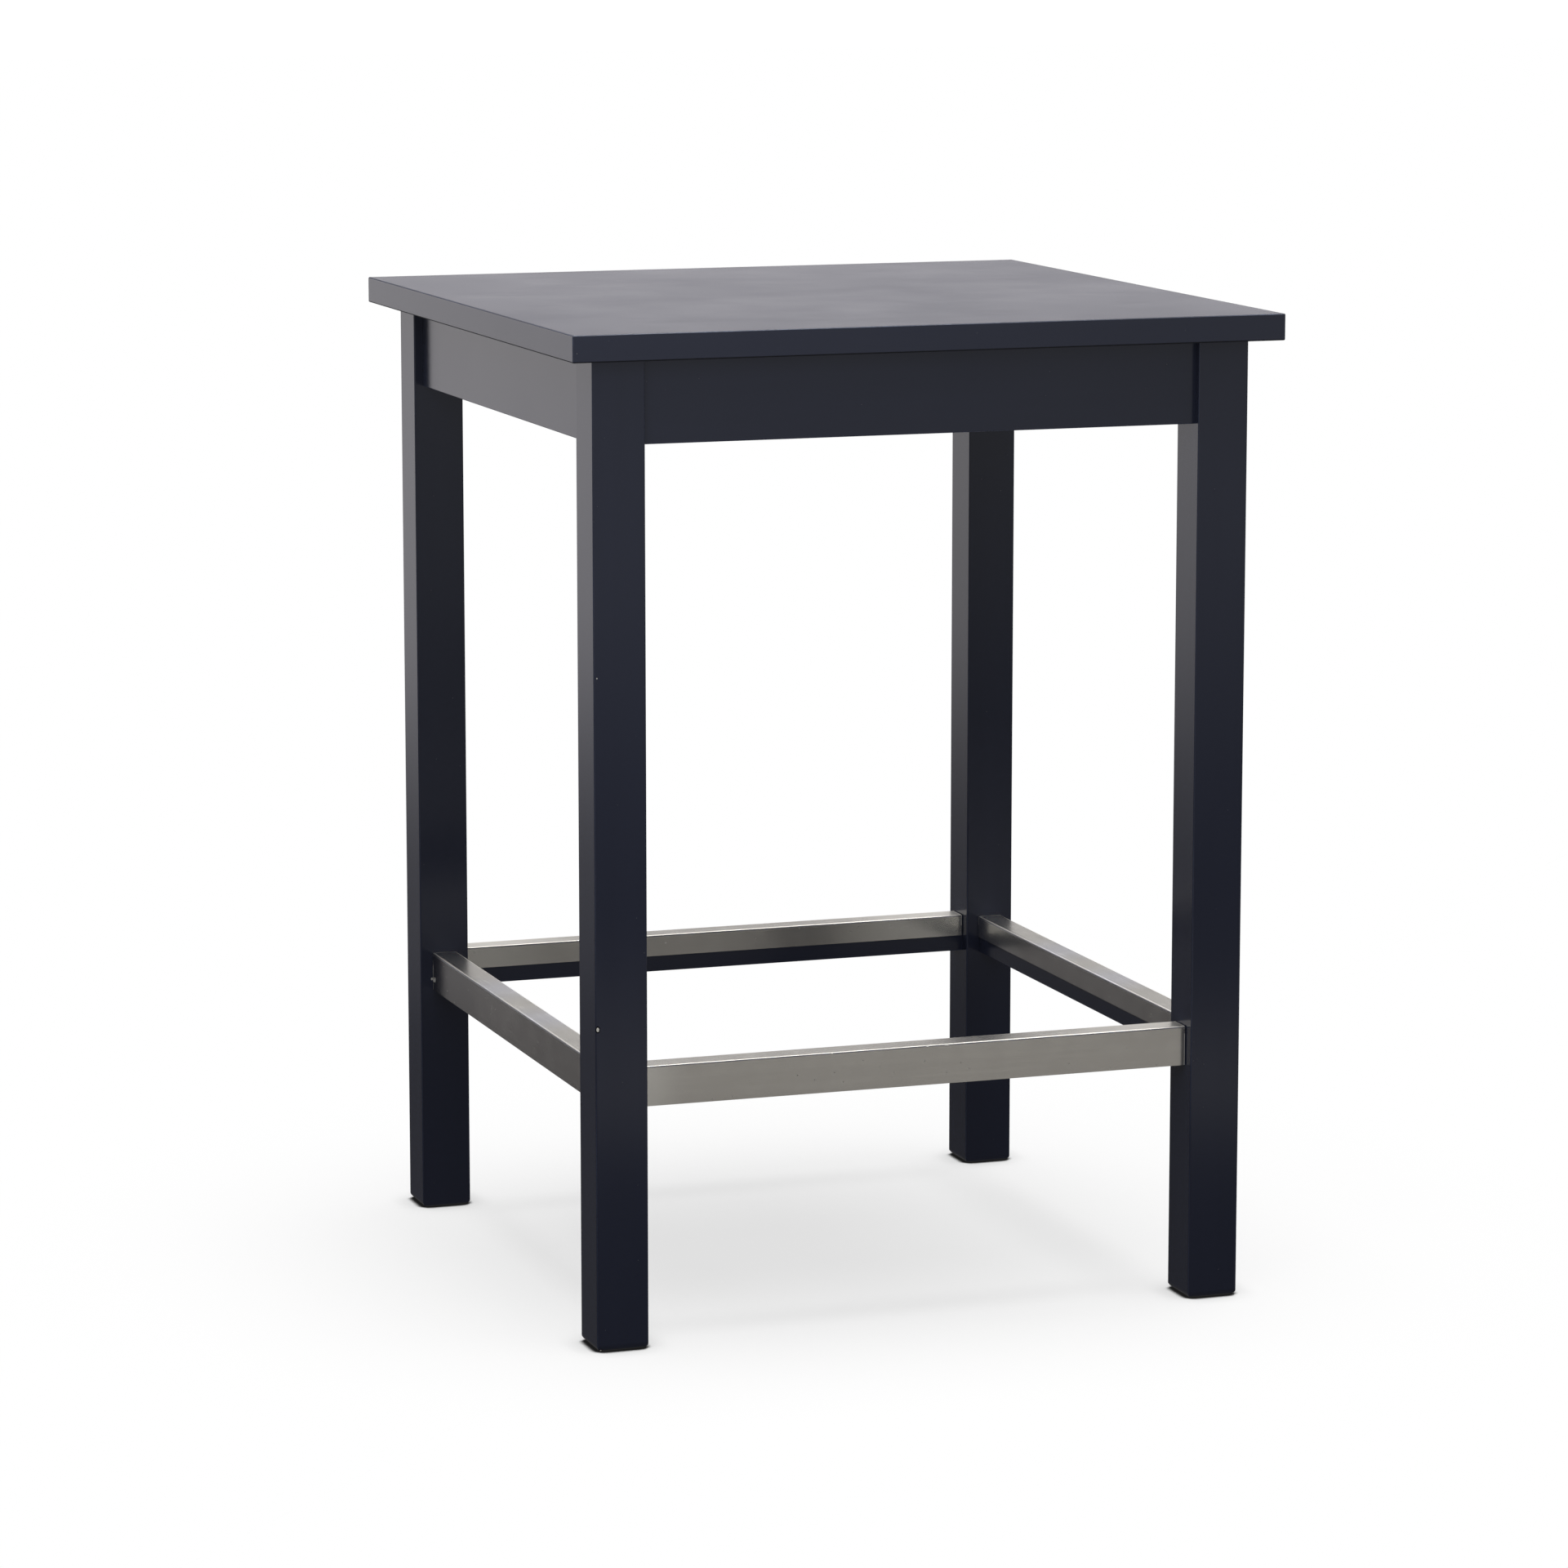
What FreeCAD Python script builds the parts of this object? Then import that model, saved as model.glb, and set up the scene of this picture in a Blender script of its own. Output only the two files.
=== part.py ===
import FreeCAD, Part
import math
import os

# A square, bar-height pub table: a thick painted top on four straight square legs, an apron
# under each edge of the top and a foot rail low down on each side. Every foot rail is a painted
# wooden bar dressed in a folded stainless sheet.
#
# Sizes are in millimetres. The floor is z = 0 and +Z is up. The origin is the middle of the
# footprint on the floor. The front of the table faces -Y and its left side faces -X.

# ---- overall size and tabletop
TABLE_HEIGHT = 1020.0        # floor to the upper face of the top
TOP_WIDTH = 750.0            # along X
TOP_DEPTH = 750.0            # along Y
TOP_THICK = 27.0
TOP_OVERHANG = 28.0          # edge of the top beyond the outer faces of the legs
TOP_EASE = 1.5               # rounding of the top's arrises

# ---- legs
LEG_SIZE = 54.0              # square section
LEG_EASE = 1.5               # rounding of the long arrises
FOOT_ROUND = 7.0             # rounding around the foot

# ---- aprons
APRON_HEIGHT = 85.0
APRON_THICK = 22.0
APRON_SETBACK = 9.0          # outer face of the leg to outer face of the apron
APRON_EASE = 1.0             # rounding of the two lower arrises

# ---- foot rails and their steel covers
RAIL_TOP_HEIGHT = 286.0      # floor to the steel tread
RAIL_HEIGHT = 41.0           # tread to the bottom of the outer flange
RAIL_THICK = 27.0            # over the steel
COVER_SHEET = 1.0
COVER_INSIDE_BEND = 0.8      # inner radius of the two folds
COVER_INNER_FLANGE = 23.5    # tread to the lower edge of the flange on the table's inside
COVER_END_GAP = 1.2          # sheet end to leg
RAIL_EASE = 1.0              # rounding of the wooden bar's lower arrises
RAIL_EASE_OVER_BEND = 0.4    # upper arrises are this much rounder than the folds over them
TENON_THICK = 12.0
TENON_HEIGHT = 28.0
TENON_WALL = 3.0             # wood left between the two mortises that meet inside a leg
TENON_PLAY = 0.1             # per side
MORTISE_END_ROOM = 1.0       # room for glue past the end of the tenon

# ---- dowels between apron and leg, two at each joint
DOWEL_DIAMETER = 8.0
DOWEL_BITE = 15.0            # length of dowel in each of the two pieces
DOWEL_EDGE = 17.0            # apron's lower and upper edge to the nearest dowel's axis
DOWEL_PLAY = 0.1             # around the dowel
DOWEL_END_ROOM = 1.0
DOWEL_BEVEL = 1.0

# ---- corner brackets: folded steel across each inside corner
BRACKET_SHEET = 2.0
BRACKET_INSIDE_BEND = 1.0
BRACKET_HEIGHT = 50.0
BRACKET_WING = 40.0          # length along the apron
BRACKET_LEG_GAP = 12.0       # inner arris of the leg to the bracket, taken up by the bolt
BRACKET_LIP = 8.0            # depth of the lip that hooks into the apron
BRACKET_SCREW_EDGE = 12.0    # upper and lower edge of the bracket to the screws' axes
KERF_PLAY = 0.4              # room behind the lip
KERF_END_ROOM = 1.5          # room past the tip of the lip

# ---- hanger bolt, washer and nut at each corner
BOLT_DIAMETER = 8.0
BOLT_COVER_WOOD = 30.0       # tip of the bolt to the outer arris of the leg
BOLT_PLAY = 0.1              # around the bolt in the leg and in the nut
BOLT_POINT = 6.0             # length of the pointed tip
BOLT_END = 4.0               # length of bolt proud of the nut
BOLT_BEVEL = 0.8
BRACKET_HOLE_PLAY = 0.6      # around the bolt in the bracket and in the washer
WASHER_DIAMETER = 24.0
WASHER_THICK = 2.0
NUT_ACROSS_FLATS = 13.0
NUT_HEIGHT = 6.5

# ---- angle plates that hold the top down to the aprons
PLATE_SHEET = 2.0
PLATE_INSIDE_BEND = 1.0
PLATE_LENGTH = 40.0          # along the apron
PLATE_LEG = 25.0             # each flange
PLATE_SCREW_END = 9.0        # end of the plate to the nearest screw in the apron
PLATE_SCREW_EDGE = 9.0       # free edge of a flange to its screws' axes
PLATE_SLOT_LENGTH = 14.0     # lets the top swell and shrink

# ---- wood screws
SCREW_SHANK = 4.0
SCREW_HEAD = 8.0
SCREW_HEAD_HEIGHT = 2.6
SCREW_POINT = 4.0            # length of the pointed tip
SCREW_PLAY = 0.1             # around the shank in its pilot hole
SCREW_HOLE_PLAY = 0.5        # around the shank in a plate
SCREW_END_ROOM = 1.0         # pilot hole past the tip
SCREW_COVER_WOOD = 6.0       # wood left between the tip and the far face
RECESS_WIDTH = 1.0           # cross recess in the head
RECESS_LENGTH = 4.6
RECESS_DEPTH = 1.4

# ---- sizes that follow
LEG_HEIGHT = TABLE_HEIGHT - TOP_THICK
HALF_LEG = LEG_SIZE / 2
APRON_BOTTOM = LEG_HEIGHT - APRON_HEIGHT
APRON_MIDDLE = LEG_HEIGHT - APRON_HEIGHT / 2
APRON_FACE = APRON_SETBACK + APRON_THICK     # outer face of the leg to the apron's inner face
APRON_AXIS = APRON_SETBACK + APRON_THICK / 2
RAIL_SETBACK = (LEG_SIZE - RAIL_THICK) / 2   # the rail stands in the middle of the leg's face
TENON_LENGTH = HALF_LEG - TENON_THICK / 2 - TENON_WALL - MORTISE_END_ROOM
CORE_HEIGHT = RAIL_HEIGHT - COVER_SHEET
CORE_THICK = RAIL_THICK - 2 * COVER_SHEET
CORE_TOP = RAIL_TOP_HEIGHT - COVER_SHEET
CORE_BOTTOM = RAIL_TOP_HEIGHT - RAIL_HEIGHT
CORE_MIDDLE = (CORE_TOP + CORE_BOTTOM) / 2
SCREW_BITE_APRON = APRON_THICK - SCREW_COVER_WOOD
SCREW_BITE_TOP = TOP_THICK - SCREW_COVER_WOOD
DOWEL_LEVELS = (APRON_BOTTOM + DOWEL_EDGE, LEG_HEIGHT - DOWEL_EDGE)
BRACKET_LOW = APRON_MIDDLE - BRACKET_HEIGHT / 2
BRACKET_HIGH = APRON_MIDDLE + BRACKET_HEIGHT / 2
BRACKET_SCREW_LEVELS = (BRACKET_LOW + BRACKET_SCREW_EDGE, BRACKET_HIGH - BRACKET_SCREW_EDGE)

# Measured from a leg's axis towards the middle of the table: the aprons' inner faces, and along
# the aprons the places where the bracket's wings begin and end.
WING_FACE = APRON_FACE - HALF_LEG
WING_START = LEG_SIZE + BRACKET_LEG_GAP * math.sqrt(2) - WING_FACE
WING_END = WING_START + BRACKET_WING
WING_SCREW = (WING_START + WING_END) / 2

# Measured from a leg's axis along the diagonal towards the middle of the table.
LEG_ARRIS = HALF_LEG * math.sqrt(2)
BOLT_TIP = BOLT_COVER_WOOD - LEG_ARRIS
BRACKET_FACE = LEG_ARRIS + BRACKET_LEG_GAP
WASHER_FACE = BRACKET_FACE + BRACKET_SHEET
NUT_FACE = WASHER_FACE + WASHER_THICK
BOLT_TOP = NUT_FACE + NUT_HEIGHT + BOLT_END

PARALLEL = 1e-6              # sine of the angle between two directions taken as parallel
UP = FreeCAD.Vector(0, 0, 1)
RIGHT = FreeCAD.Vector(1, 0, 0)
INWARD = FreeCAD.Vector(0, 1, 0)
DIAGONAL = FreeCAD.Vector(1, 1, 0).normalize()

# The four sides, each as quarter turns about Z from the front, its length between the legs and
# the distance from the table's axis to the outer faces of its legs.
SPAN_ACROSS = TOP_WIDTH - 2 * (TOP_OVERHANG + LEG_SIZE)
SPAN_ALONG = TOP_DEPTH - 2 * (TOP_OVERHANG + LEG_SIZE)
REACH_ACROSS = TOP_WIDTH / 2 - TOP_OVERHANG
REACH_ALONG = TOP_DEPTH / 2 - TOP_OVERHANG
SIDES = {
    "front": (0, SPAN_ACROSS, REACH_ALONG),
    "right": (1, SPAN_ALONG, REACH_ACROSS),
    "back": (2, SPAN_ACROSS, REACH_ALONG),
    "left": (3, SPAN_ALONG, REACH_ACROSS),
}

# The four corners, each as quarter turns from the front left one and the signs of its X and Y.
CORNERS = {
    "front_left": (0, -1, -1),
    "front_right": (1, 1, -1),
    "back_right": (2, 1, 1),
    "back_left": (3, -1, 1),
}


def vec(x, y, z):
    return FreeCAD.Vector(x, y, z)


def block(low, high):
    """Box between two opposite corners."""
    size = high - low
    return Part.makeBox(size.x, size.y, size.z, low)


def rod(diameter, start, end):
    """Round bar from start to end."""
    along = end - start
    return Part.makeCylinder(diameter / 2, along.Length, start, along)


def aimed(shape, start, along):
    """Shape built from the origin along +Z, carried to start and turned to point along."""
    shape.Placement = FreeCAD.Placement(start, FreeCAD.Rotation(UP, along))
    return shape


def place(shape, turns, x=0, y=0):
    """Copy of a shape given some quarter turns about Z and then moved."""
    copy = shape.copy()
    copy.Placement = FreeCAD.Placement(vec(x, y, 0), FreeCAD.Rotation(UP, 90 * turns)) * copy.Placement
    return copy


def mirrored(shape):
    """The shape and its mirror image across the plane x = 0."""
    return [shape, shape.mirror(vec(0, 0, 0), RIGHT)]


def swapped(shape):
    """The shape and its mirror image across the diagonal plane x = y."""
    return [shape, shape.mirror(vec(0, 0, 0), vec(1, -1, 0))]


def straight_edges(solid, along, keep):
    """Edges parallel to a direction whose middle passes the test."""
    found = []
    for edge in solid.Edges:
        ends = edge.Vertexes[-1].Point - edge.Vertexes[0].Point
        if ends.Length > 0 and ends.normalize().cross(along).Length < PARALLEL and keep(edge.CenterOfMass):
            found.append(edge)
    return found


# ---- folded sheet

def rounded_path(points, radii):
    """Edges of a path whose inner corners are rounded to the given radii."""
    edges = []
    start = points[0]
    for before, corner, after, radius in zip(points, points[1:], points[2:], radii):
        back = (before - corner).normalize()
        ahead = (after - corner).normalize()
        half = back.getAngle(ahead) / 2
        first = corner + back * (radius / math.tan(half))
        last = corner + ahead * (radius / math.tan(half))
        middle = corner + (back + ahead).normalize() * (radius / math.sin(half) - radius)
        edges.append(Part.LineSegment(start, first).toShape())
        edges.append(Part.Arc(first, middle, last).toShape())
        start = last
    edges.append(Part.LineSegment(start, points[-1]).toShape())
    return edges


def folded_sheet(points, sheet, inside_bend, drawn):
    """A sheet folded along a flat path and drawn out along a vector.

    The path is one face of the sheet, which lies on its left when `drawn` points at the eye.
    """
    normal = vec(drawn.x, drawn.y, drawn.z).normalize()
    ahead = [(end - start).normalize() for start, end in zip(points, points[1:])]
    left = [normal.cross(step) for step in ahead]
    far_points = [points[0] + left[0] * sheet]
    near_radii = []
    far_radii = []
    for corner, one, two, step, turn in zip(points[1:], left, left[1:], ahead, ahead[1:]):
        far_points.append(corner + (one + two) * (sheet / (1 + one.dot(two))))
        folds_left = normal.dot(step.cross(turn)) > 0
        near_radii.append(inside_bend + sheet if folds_left else inside_bend)
        far_radii.append(inside_bend if folds_left else inside_bend + sheet)
    far_points.append(points[-1] + left[-1] * sheet)
    edges = rounded_path(points, near_radii) + rounded_path(far_points, far_radii)
    edges.append(Part.LineSegment(points[0], far_points[0]).toShape())
    edges.append(Part.LineSegment(points[-1], far_points[-1]).toShape())
    outline = Part.Wire(Part.__sortEdges__(edges))
    return Part.Face(outline).extrude(drawn)


# ---- fasteners

def wood_screw(seat, along, reach):
    """Round-headed screw whose head sits at `seat` and whose tip is `reach` further along."""
    head = SCREW_HEAD / 2
    crown = vec(0, 0, -SCREW_HEAD_HEIGHT)
    ball = (head ** 2 + SCREW_HEAD_HEIGHT ** 2) / (2 * SCREW_HEAD_HEIGHT)
    dome = Part.makeSphere(ball, crown + UP * ball).common(rod(SCREW_HEAD, crown, vec(0, 0, 0)))
    neck = UP * (reach - SCREW_POINT)
    tip = Part.makeCone(SCREW_SHANK / 2, 0, SCREW_POINT, neck)
    screw = dome.fuse([rod(SCREW_SHANK, vec(0, 0, 0), neck), tip])
    for wide, deep in ((RECESS_LENGTH, RECESS_WIDTH), (RECESS_WIDTH, RECESS_LENGTH)):
        low = crown - vec(wide / 2, deep / 2, 0)
        screw = screw.cut(block(low, low + vec(wide, deep, RECESS_DEPTH)))
    return aimed(screw.removeSplitter().Solids[0], seat, along)


def pilot_hole(face, along, bite):
    """Hole for a screw's shank, from the wood's face to a little past the tip."""
    return rod(SCREW_SHANK + 2 * SCREW_PLAY, face, face + along * (bite + SCREW_END_ROOM))


def dowel_hole(mouth, along):
    """Hole for half a dowel, from the wood's face inwards."""
    return rod(DOWEL_DIAMETER + 2 * DOWEL_PLAY, mouth, mouth + along * (DOWEL_BITE + DOWEL_END_ROOM))


def dowel(middle, along):
    """Dowel with bevelled ends, half in the apron and half in the leg."""
    peg = rod(DOWEL_DIAMETER, middle - along * DOWEL_BITE, middle + along * DOWEL_BITE)
    rims = [edge for edge in peg.Edges if edge.Closed]
    return peg.makeChamfer(DOWEL_BEVEL, rims)


def hanger_bolt():
    """Bolt with a wood thread in the leg and a machine thread for the nut."""
    shank = rod(BOLT_DIAMETER, UP * (BOLT_TIP + BOLT_POINT), UP * BOLT_TOP)
    rims = [edge for edge in shank.Edges if edge.Closed and edge.CenterOfMass.z > BOLT_TIP + BOLT_POINT]
    shank = shank.makeChamfer(BOLT_BEVEL, rims)
    point = Part.makeCone(0, BOLT_DIAMETER / 2, BOLT_POINT, UP * BOLT_TIP)
    return aimed(shank.fuse(point).Solids[0], UP * APRON_MIDDLE, DIAGONAL)


def washer():
    """Wide washer between bracket and nut."""
    disc = rod(WASHER_DIAMETER, UP * WASHER_FACE, UP * NUT_FACE)
    hole = rod(BOLT_DIAMETER + 2 * BRACKET_HOLE_PLAY, UP * WASHER_FACE, UP * NUT_FACE)
    return aimed(disc.cut(hole), UP * APRON_MIDDLE, DIAGONAL)


def nut():
    """Hexagon nut, its corners bevelled down to the flats."""
    corner = NUT_ACROSS_FLATS / math.sqrt(3)
    points = [vec(corner * math.cos(math.radians(60 * turn)), corner * math.sin(math.radians(60 * turn)),
                  NUT_FACE) for turn in range(7)]
    hexagon = Part.Face(Part.makePolygon(points)).extrude(UP * NUT_HEIGHT)
    disc = rod(2 * corner, UP * NUT_FACE, UP * (NUT_FACE + NUT_HEIGHT))
    rims = [edge for edge in disc.Edges if edge.Closed]
    disc = disc.makeChamfer(corner - NUT_ACROSS_FLATS / 2, rims)
    hole = rod(BOLT_DIAMETER + 2 * BOLT_PLAY, UP * NUT_FACE, UP * (NUT_FACE + NUT_HEIGHT))
    return aimed(hexagon.common(disc).cut(hole).Solids[0], UP * APRON_MIDDLE, DIAGONAL)


# ---- pieces at a corner, with the leg's axis at x = y = 0 and the table's middle towards +X +Y

def leg():
    """Square post with two mortises, four dowel holes and the hanger bolt's hole."""
    half = vec(HALF_LEG, HALF_LEG, 0)
    blank = block(vec(0, 0, 0) - half, half + UP * LEG_HEIGHT)
    post = blank.makeFillet(LEG_EASE, straight_edges(blank, UP, lambda middle: True))
    for along in (RIGHT, INWARD):
        rim = straight_edges(blank, along, lambda middle: middle.z < FOOT_ROUND)
        post = post.common(blank.makeFillet(FOOT_ROUND, rim))
    tenon = vec(0, TENON_THICK / 2 + TENON_PLAY, TENON_HEIGHT / 2 + TENON_PLAY)
    inner = vec(HALF_LEG, 0, CORE_MIDDLE)
    cuts = swapped(block(inner - tenon - RIGHT * (TENON_LENGTH + MORTISE_END_ROOM), inner + tenon))
    for level in DOWEL_LEVELS:
        cuts += swapped(dowel_hole(vec(HALF_LEG, APRON_AXIS - HALF_LEG, level), RIGHT * -1))
    bolt_hole = rod(BOLT_DIAMETER + 2 * BOLT_PLAY, UP * (BOLT_TIP - BOLT_PLAY), UP * BRACKET_FACE)
    cuts.append(aimed(bolt_hole, UP * APRON_MIDDLE, DIAGONAL))
    return post.cut(cuts).Solids[0]


def corner_bracket():
    """Folded plate across the corner, a wing along each apron and a lip in each kerf."""
    lip_face = WING_END - BRACKET_SHEET
    half_path = [vec(lip_face, WING_FACE - BRACKET_LIP, BRACKET_LOW),
                 vec(lip_face, WING_FACE, BRACKET_LOW),
                 vec(WING_START, WING_FACE, BRACKET_LOW)]
    path = [vec(point.y, point.x, point.z) for point in half_path] + half_path[::-1]
    bracket = folded_sheet(path, BRACKET_SHEET, BRACKET_INSIDE_BEND, UP * BRACKET_HEIGHT)
    bolt_hole = rod(BOLT_DIAMETER + 2 * BRACKET_HOLE_PLAY, UP * LEG_ARRIS, UP * NUT_FACE)
    cuts = [aimed(bolt_hole, UP * APRON_MIDDLE, DIAGONAL)]
    for level in BRACKET_SCREW_LEVELS:
        mouth = vec(WING_SCREW, WING_FACE, level)
        cuts += swapped(rod(SCREW_SHANK + 2 * SCREW_HOLE_PLAY, mouth, mouth + INWARD * BRACKET_SHEET))
    return bracket.cut(cuts).Solids[0]


def corner_bracket_screws():
    """Two screws through each wing into the apron behind it."""
    screws = []
    for level in BRACKET_SCREW_LEVELS:
        seat = vec(WING_SCREW, WING_FACE + BRACKET_SHEET, level)
        screws += swapped(wood_screw(seat, INWARD * -1, BRACKET_SHEET + SCREW_BITE_APRON))
    return screws


def corner_dowels():
    """Two dowels from the leg into each of its two aprons."""
    dowels = []
    for level in DOWEL_LEVELS:
        dowels += swapped(dowel(vec(HALF_LEG, APRON_AXIS - HALF_LEG, level), RIGHT))
    return dowels


# ---- pieces of a side, built as the front one: x along the side, y = -reach at the legs' faces

def plate_middle(span):
    """Middle of the side to the middle of an angle plate, half way to the bracket's wing."""
    return (span / 2 + HALF_LEG - WING_END) / 2


def apron(span, reach):
    """Board under the edge of the top, with the holes and kerfs for what joins it."""
    low = vec(-span / 2, APRON_SETBACK - reach, APRON_BOTTOM)
    board = block(low, vec(span / 2, APRON_FACE - reach, LEG_HEIGHT))
    lower = straight_edges(board, RIGHT, lambda middle: middle.z < APRON_MIDDLE)
    board = board.makeFillet(APRON_EASE, lower)
    cuts = []
    for level in DOWEL_LEVELS:
        cuts += mirrored(dowel_hole(vec(-span / 2, APRON_AXIS - reach, level), RIGHT))
    axis = -span / 2 - HALF_LEG
    face = APRON_FACE - reach
    kerf_low = vec(axis + WING_END - BRACKET_SHEET - BRACKET_INSIDE_BEND,
                   face - BRACKET_LIP - KERF_END_ROOM, APRON_BOTTOM)
    cuts += mirrored(block(kerf_low, vec(axis + WING_END + KERF_PLAY, face, LEG_HEIGHT)))
    for level in BRACKET_SCREW_LEVELS:
        mouth = vec(axis + WING_SCREW, face, level)
        cuts += mirrored(pilot_hole(mouth, INWARD * -1, SCREW_BITE_APRON))
    for x in plate_screw_places(span):
        mouth = vec(x, face, LEG_HEIGHT - PLATE_LEG + PLATE_SCREW_EDGE)
        cuts += mirrored(pilot_hole(mouth, INWARD * -1, SCREW_BITE_APRON))
    return board.cut(cuts).Solids[0]


def plate_screw_places(span):
    """Two places along the apron, one near each end of the left-hand angle plate."""
    offset = PLATE_LENGTH / 2 - PLATE_SCREW_END
    return (-plate_middle(span) - offset, -plate_middle(span) + offset)


def angle_plates(span, reach):
    """Two folded plates in the corner between apron and top, slotted under the top."""
    face = APRON_FACE - reach
    start = -plate_middle(span) - PLATE_LENGTH / 2
    path = [vec(start, face + PLATE_LEG, LEG_HEIGHT), vec(start, face, LEG_HEIGHT),
            vec(start, face, LEG_HEIGHT - PLATE_LEG)]
    plate = folded_sheet(path, PLATE_SHEET, PLATE_INSIDE_BEND, RIGHT * PLATE_LENGTH)
    hole = SCREW_SHANK + 2 * SCREW_HOLE_PLAY
    cuts = []
    for x in plate_screw_places(span):
        mouth = vec(x, face, LEG_HEIGHT - PLATE_LEG + PLATE_SCREW_EDGE)
        cuts.append(rod(hole, mouth, mouth + INWARD * PLATE_SHEET))
    half_slot = RIGHT * ((PLATE_SLOT_LENGTH - hole) / 2)
    under = vec(-plate_middle(span), face + PLATE_LEG - PLATE_SCREW_EDGE, LEG_HEIGHT - PLATE_SHEET)
    for end in (under - half_slot, under + half_slot):
        cuts.append(rod(hole, end, end + UP * PLATE_SHEET))
    slot_low = under - half_slot - INWARD * (hole / 2)
    cuts.append(block(slot_low, under + half_slot + INWARD * (hole / 2) + UP * PLATE_SHEET))
    return mirrored(plate.cut(cuts).Solids[0])


def apron_plate_screws(span, reach):
    """Two screws through each angle plate into the apron."""
    screws = []
    for x in plate_screw_places(span):
        seat = vec(x, APRON_FACE + PLATE_SHEET - reach, LEG_HEIGHT - PLATE_LEG + PLATE_SCREW_EDGE)
        screws += mirrored(wood_screw(seat, INWARD * -1, PLATE_SHEET + SCREW_BITE_APRON))
    return screws


def tabletop_screw_seat(span, reach):
    """Underside of the left-hand angle plate, at the middle of its slot."""
    return vec(-plate_middle(span), APRON_FACE + PLATE_LEG - PLATE_SCREW_EDGE - reach,
               LEG_HEIGHT - PLATE_SHEET)


def tabletop_screws(span, reach):
    """One screw through the slot of each angle plate into the top."""
    return mirrored(wood_screw(tabletop_screw_seat(span, reach), UP, PLATE_SHEET + SCREW_BITE_TOP))


def foot_rail_core(span, reach):
    """Wooden bar of the foot rail, with a tenon at each end."""
    y = HALF_LEG - reach
    size = vec(span / 2, CORE_THICK / 2, CORE_HEIGHT / 2)
    middle = vec(0, y, CORE_MIDDLE)
    bar = block(middle - size, middle + size)
    upper = straight_edges(bar, RIGHT, lambda point: point.z > CORE_MIDDLE)
    bar = bar.makeFillet(COVER_INSIDE_BEND + RAIL_EASE_OVER_BEND, upper)
    lower = straight_edges(bar, RIGHT, lambda point: point.z < CORE_BOTTOM + RAIL_EASE)
    bar = bar.makeFillet(RAIL_EASE, lower)
    tenon = vec(span / 2 + TENON_LENGTH, TENON_THICK / 2, TENON_HEIGHT / 2)
    return bar.fuse(block(middle - tenon, middle + tenon)).removeSplitter().Solids[0]


def foot_rail_cover(span, reach):
    """Steel sheet folded over the bar: all of its outer face, its top and half its inner face."""
    start = COVER_END_GAP - span / 2
    outer = RAIL_SETBACK - reach
    inner = outer + RAIL_THICK
    path = [vec(start, inner, RAIL_TOP_HEIGHT - COVER_INNER_FLANGE),
            vec(start, inner, RAIL_TOP_HEIGHT),
            vec(start, outer, RAIL_TOP_HEIGHT),
            vec(start, outer, CORE_BOTTOM)]
    return folded_sheet(path, COVER_SHEET, COVER_INSIDE_BEND, RIGHT * (-2 * start))


def tabletop():
    """Square board with eased arrises and pilot holes in its underside."""
    half = vec(TOP_WIDTH / 2, TOP_DEPTH / 2, 0)
    board = block(UP * LEG_HEIGHT - half, UP * TABLE_HEIGHT + half)
    board = board.makeFillet(TOP_EASE, board.Edges)
    cuts = []
    for turns, span, reach in SIDES.values():
        mouth = tabletop_screw_seat(span, reach) + UP * PLATE_SHEET
        cuts += [place(hole, turns) for hole in mirrored(pilot_hole(mouth, UP, SCREW_BITE_TOP))]
    return board.cut(cuts).Solids[0]


# ---- the whole table

def at_corner(shape, corner):
    """A corner piece carried to its own corner."""
    turns, side_x, side_y = CORNERS[corner]
    return place(shape, turns, side_x * (REACH_ACROSS - HALF_LEG), side_y * (REACH_ALONG - HALF_LEG))


def at_side(pieces, side):
    """Pieces of a side carried to their own side."""
    return [place(piece, SIDES[side][0]) for piece in pieces]


def save(node, pieces):
    """Write one node: a single piece, or a group of like pieces."""
    shape = pieces[0] if len(pieces) == 1 else Part.makeCompound(pieces)
    shape.exportStep(f"parts/{node}.step")


def build():
    """Make every piece and write each node to its own file."""
    os.makedirs("parts", exist_ok=True)
    save("tabletop", [tabletop()])

    one_leg = leg()
    one_bracket = corner_bracket()
    for corner in CORNERS:
        save(f"leg_{corner}", [at_corner(one_leg, corner)])
        save(f"corner_bracket_{corner}", [at_corner(one_bracket, corner)])

    corner_groups = {
        "hanger_bolts": [hanger_bolt()],
        "hanger_bolt_washers": [washer()],
        "hanger_bolt_nuts": [nut()],
        "corner_bracket_screws": corner_bracket_screws(),
        "apron_dowels": corner_dowels(),
    }
    for node, pieces in corner_groups.items():
        save(node, [at_corner(piece, corner) for corner in CORNERS for piece in pieces])

    side_groups = {
        "top_angle_plates": angle_plates,
        "apron_plate_screws": apron_plate_screws,
        "tabletop_screws": tabletop_screws,
    }
    for side, (_, span, reach) in SIDES.items():
        save(f"apron_{side}", at_side([apron(span, reach)], side))
        save(f"foot_rail_core_{side}", at_side([foot_rail_core(span, reach)], side))
        save(f"foot_rail_cover_{side}", at_side([foot_rail_cover(span, reach)], side))
    for node, make in side_groups.items():
        pieces = []
        for side, (_, span, reach) in SIDES.items():
            pieces += at_side(make(span, reach), side)
        save(node, pieces)


build()
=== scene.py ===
import math
from typing import NamedTuple

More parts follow.
